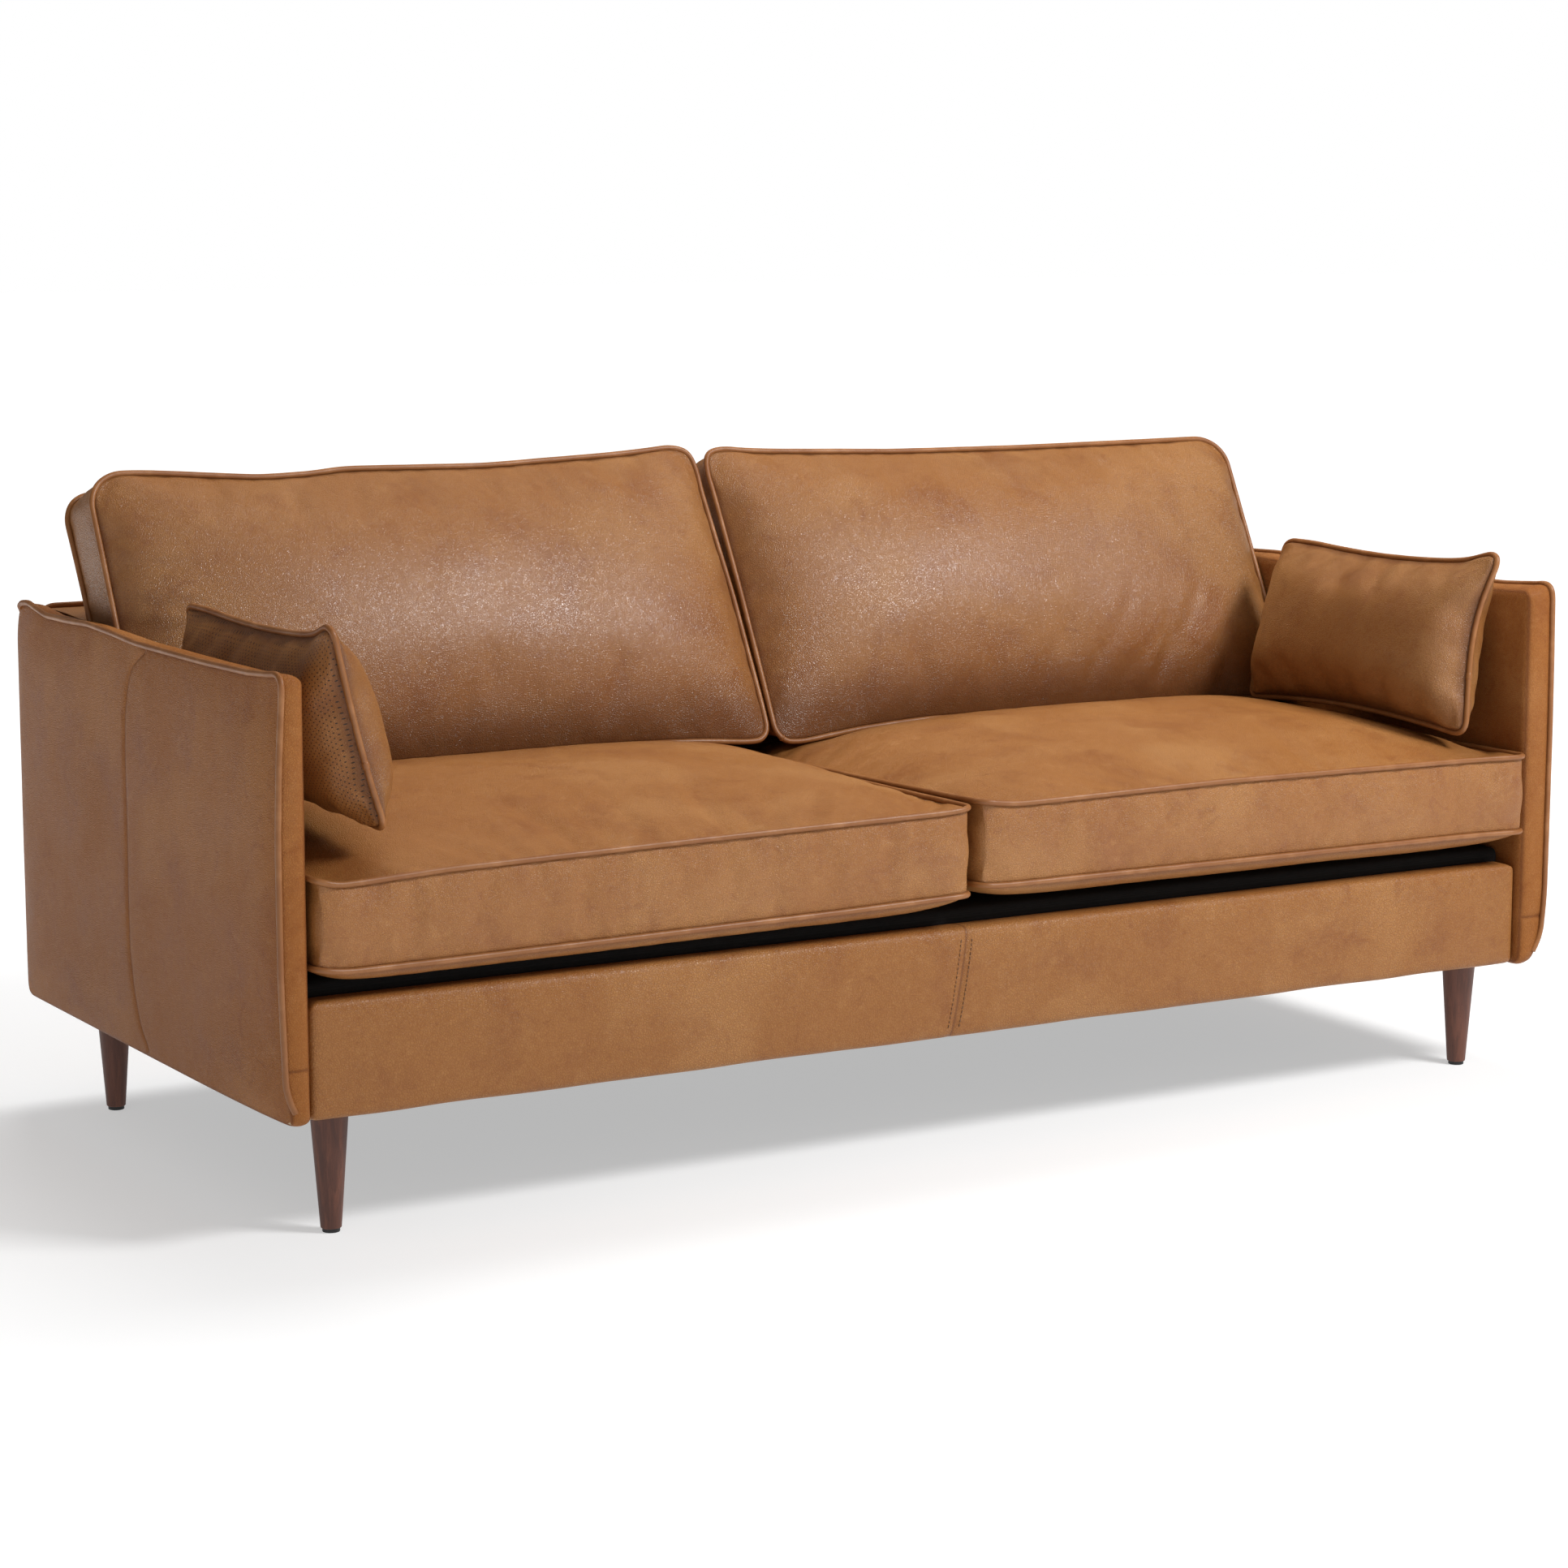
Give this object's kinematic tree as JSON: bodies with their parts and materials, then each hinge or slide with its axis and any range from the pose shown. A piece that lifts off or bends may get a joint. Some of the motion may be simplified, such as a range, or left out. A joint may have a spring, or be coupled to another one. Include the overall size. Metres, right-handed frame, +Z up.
{
  "type": "sofa",
  "caption": "Two-seat leather sofa on four tapered wooden legs, with thin piped arms, loose seat and back cushions and lumbar pillows.",
  "frame": {"origin": "on the floor, midway across the width and the depth", "axes": "+Z up, front faces -Y, +X to the right as seen from the front"},
  "size_m": [1.96, 0.92, 0.8908],
  "materials": {
    "leather": "satin semi-aniline hide, caramel, fine pebble grain",
    "leather_piping": "satin hide, worn lighter",
    "walnut": "semi-matt dark walnut stain",
    "black_plastic": "matt",
    "zinc_steel": "zinc plated",
    "spring_steel": "oiled dark wire",
    "frame_timber": "planed hardwood",
    "plywood": "sanded birch plywood",
    "webbing": "woven elastic webbing",
    "black_cloth": "non-woven black cloth",
    "foam": "polyurethane foam and fibre wrap",
    "zipper": "brown tape and coil zipper"
  },
  "bodies": {
    "frame": {"leg_front_left": "walnut", "leg_front_right": "walnut", "leg_rear_left": "walnut", "leg_rear_right": "walnut", "leg_glides": "black_plastic", "leg_plates": "zinc_steel", "leg_bolts": "zinc_steel", "plate_screws": "zinc_steel", "arm_bolts": "zinc_steel", "spring_clips": "zinc_steel", "seat_springs": "spring_steel", "seat_front_rail": "frame_timber", "seat_rear_rail": "frame_timber", "seat_centre_rail": "frame_timber", "corner_blocks": "frame_timber", "back_top_rail": "frame_timber", "seat_side_rail_left": "frame_timber", "seat_side_rail_right": "frame_timber", "back_ribs": "plywood", "arm_panel_left": "plywood", "arm_panel_right": "plywood", "back_webbing": "webbing", "spring_cloth": "black_cloth", "dust_cover": "black_cloth", "seat_deck_cover": "black_cloth", "seat_deck_pad": "foam", "front_rail_padding": "foam", "back_padding": "foam", "arm_padding_left": "foam", "arm_padding_right": "foam", "front_rail_cover": "leather", "back_cover": "leather", "outer_back_panel": "leather", "arm_cover_left": "leather", "arm_cover_right": "leather", "back_piping": "leather_piping", "arm_piping_left": "leather_piping", "arm_piping_right": "leather_piping"},
    "seat_cushion_left": {"seat_cushion_cover_left": "leather", "seat_cushion_core_left": "foam", "seat_cushion_piping_left": "leather_piping", "seat_cushion_zipper_left": "zipper"},
    "back_cushion_left": {"back_cushion_cover_left": "leather", "back_cushion_core_left": "foam", "back_cushion_piping_left": "leather_piping", "back_cushion_zipper_left": "zipper"},
    "pillow_left": {"pillow_cover_left": "leather", "pillow_filling_left": "foam", "pillow_piping_left": "leather_piping"},
    "seat_cushion_right": {"seat_cushion_cover_right": "leather", "seat_cushion_core_right": "foam", "seat_cushion_piping_right": "leather_piping", "seat_cushion_zipper_right": "zipper"},
    "back_cushion_right": {"back_cushion_cover_right": "leather", "back_cushion_core_right": "foam", "back_cushion_piping_right": "leather_piping", "back_cushion_zipper_right": "zipper"},
    "pillow_right": {"pillow_cover_right": "leather", "pillow_filling_right": "foam", "pillow_piping_right": "leather_piping"}
  },
  "joints": [
    {"name": "seat_cushion_left_pull", "type": "slide", "parent": "frame", "child": "seat_cushion_left", "axis": [0, -1, 0], "range_m": [0, 0.6]},
    {"name": "back_cushion_left_lift", "type": "slide", "parent": "frame", "child": "back_cushion_left", "axis": [0, 0.454, 0.891], "range_m": [0, 0.5]},
    {"name": "pillow_left_lift", "type": "slide", "parent": "frame", "child": "pillow_left", "axis": [0, 0, 1], "range_m": [0, 0.4]},
    {"name": "seat_cushion_right_pull", "type": "slide", "parent": "frame", "child": "seat_cushion_right", "axis": [0, -1, 0], "range_m": [0, 0.6]},
    {"name": "back_cushion_right_lift", "type": "slide", "parent": "frame", "child": "back_cushion_right", "axis": [0, 0.454, 0.891], "range_m": [0, 0.5]},
    {"name": "pillow_right_lift", "type": "slide", "parent": "frame", "child": "pillow_right", "axis": [0, 0, 1], "range_m": [0, 0.4]}
  ]
}
